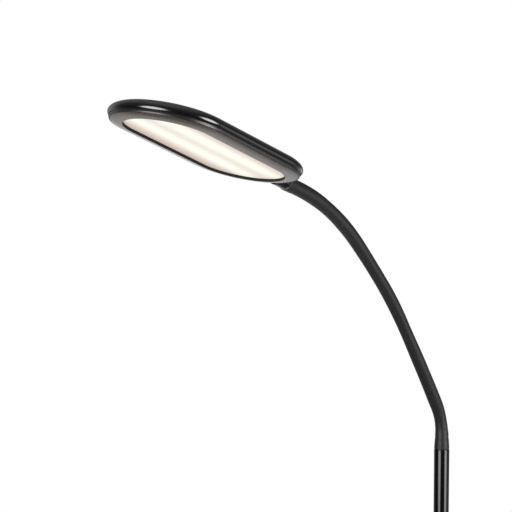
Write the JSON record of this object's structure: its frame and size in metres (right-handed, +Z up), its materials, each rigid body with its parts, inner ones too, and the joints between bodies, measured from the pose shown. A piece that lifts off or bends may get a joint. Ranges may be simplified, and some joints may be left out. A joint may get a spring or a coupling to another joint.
{
  "type": "floor lamp",
  "caption": "Floor lamp with a long oval LED head on a bendable gooseneck, a slim pole with two push buttons and a round weighted base.",
  "frame": {"origin": "middle of the foot pad's underside, on the floor", "axes": "+Z up along the pole, -X towards the lamp head, Y across"},
  "size_m": [0.8188, 0.25, 1.5217],
  "materials": {
    "gloss_black_metal": "gloss black powder coat",
    "gloss_black_plastic": "gloss black moulded plastic",
    "trim_plastic": "satin black",
    "bezel_plastic": "satin dark grey-brown",
    "opal_lens": "milky diffuser, lit from behind",
    "sleeve_rubber": "matte black",
    "rubber": "matte black",
    "iron": "as cast, dark",
    "zinc_steel": "zinc plated",
    "turned_steel": "turned",
    "switch_plastic": "satin black",
    "button_plastic": "satin light grey",
    "board_green": "solder mask",
    "led_board_white": "white solder mask",
    "reflector_white": "white reflector",
    "cable_black": "matte black jacket",
    "cable_white": "white jacket",
    "aluminium": "mill finish sheet"
  },
  "bodies": {
    "stand": {"foot_pad": "rubber", "base_weight": "iron", "base_cover": "gloss_black_metal", "cord_grommet": "rubber", "base_stud": "zinc_steel", "base_washer": "zinc_steel", "base_nut": "zinc_steel", "pole_collar": "gloss_black_metal", "foot_insert": "turned_steel", "pole_lower": "gloss_black_metal", "male_insert": "turned_steel", "female_insert": "turned_steel", "pole_middle": "gloss_black_metal", "switch_front": "switch_plastic", "switch_back": "switch_plastic", "switch_board": "board_green", "switch_screws": "zinc_steel", "pole_upper": "gloss_black_metal", "supply_cable": "cable_black", "lamp_cable": "cable_white", "neck_ferrule": "gloss_black_metal", "lower_cuff": "sleeve_rubber"},
    "power_button": {"power_button": "button_plastic"},
    "dimmer_button": {"dimmer_button": "button_plastic"},
    "neck_section_1": {"neck_sleeve_1": "sleeve_rubber", "neck_hose_1": "turned_steel", "neck_wire_1": "cable_white"},
    "neck_section_2": {"neck_sleeve_2": "sleeve_rubber", "neck_hose_2": "turned_steel", "neck_wire_2": "cable_white"},
    "neck_section_3": {"neck_sleeve_3": "sleeve_rubber", "neck_hose_3": "turned_steel", "neck_wire_3": "cable_white"},
    "neck_section_4": {"neck_sleeve_4": "sleeve_rubber", "neck_hose_4": "turned_steel", "neck_wire_4": "cable_white"},
    "neck_section_5": {"neck_sleeve_5": "sleeve_rubber", "neck_hose_5": "turned_steel", "neck_wire_5": "cable_white"},
    "neck_section_6": {"neck_sleeve_6": "sleeve_rubber", "neck_hose_6": "turned_steel", "neck_wire_6": "cable_white"},
    "neck_section_7": {"neck_sleeve_7": "sleeve_rubber", "neck_hose_7": "turned_steel", "neck_wire_7": "cable_white"},
    "lamp_head": {"upper_cuff": "sleeve_rubber", "upper_ferrule": "turned_steel", "neck_stem": "gloss_black_metal", "head_shell": "gloss_black_plastic", "trim_ring": "trim_plastic", "bezel": "bezel_plastic", "lens": "opal_lens", "reflector_tray": "reflector_white", "led_boards": "led_board_white", "heat_spreader": "aluminium", "driver_board": "board_green", "spreader_screws": "zinc_steel", "stem_screws": "zinc_steel", "head_wire": "cable_white"}
  },
  "joints": [
    {"name": "bend_1_updown", "type": "hinge", "parent": "stand", "child": "neck_section_1", "pos_m": [0, 0, 1.0225], "axis": [0, 1, 0], "range_deg": [-25, 25]},
    {"name": "bend_2_sideways", "type": "hinge", "parent": "neck_section_1", "child": "neck_section_2", "pos_m": [-0.01504, 0, 1.07094], "axis": [-0.8241, 0, -0.5664], "range_deg": [-25, 25]},
    {"name": "bend_3_updown", "type": "hinge", "parent": "neck_section_2", "child": "neck_section_3", "pos_m": [-0.06121, 0, 1.13603], "axis": [0, 1, 0], "range_deg": [-25, 25]},
    {"name": "bend_4_sideways", "type": "hinge", "parent": "neck_section_3", "child": "neck_section_4", "pos_m": [-0.10896, 0, 1.19997], "axis": [-0.7955, 0, -0.606], "range_deg": [-25, 25]},
    {"name": "bend_5_updown", "type": "hinge", "parent": "neck_section_4", "child": "neck_section_5", "pos_m": [-0.16127, 0, 1.26015], "axis": [0, 1, 0], "range_deg": [-25, 25]},
    {"name": "bend_6_sideways", "type": "hinge", "parent": "neck_section_5", "child": "neck_section_6", "pos_m": [-0.21862, 0, 1.31563], "axis": [-0.6794, 0, -0.7337], "range_deg": [-25, 25]},
    {"name": "bend_7_updown", "type": "hinge", "parent": "neck_section_6", "child": "neck_section_7", "pos_m": [-0.28221, 0, 1.36363], "axis": [0, 1, 0], "range_deg": [-25, 25]},
    {"name": "bend_8_sideways", "type": "hinge", "parent": "neck_section_7", "child": "lamp_head", "pos_m": [-0.35422, 0, 1.39767], "axis": [-0.3305, 0, -0.9438], "range_deg": [-25, 25]},
    {"name": "power_press", "type": "slide", "parent": "stand", "child": "power_button", "axis": [1, 0, 0], "range_m": [0, 0.001], "stiffness_N_per_m": 1200, "springref_m": -0.0008},
    {"name": "dimmer_press", "type": "slide", "parent": "stand", "child": "dimmer_button", "axis": [1, 0, 0], "range_m": [0, 0.001], "stiffness_N_per_m": 1200, "springref_m": -0.0008}
  ]
}
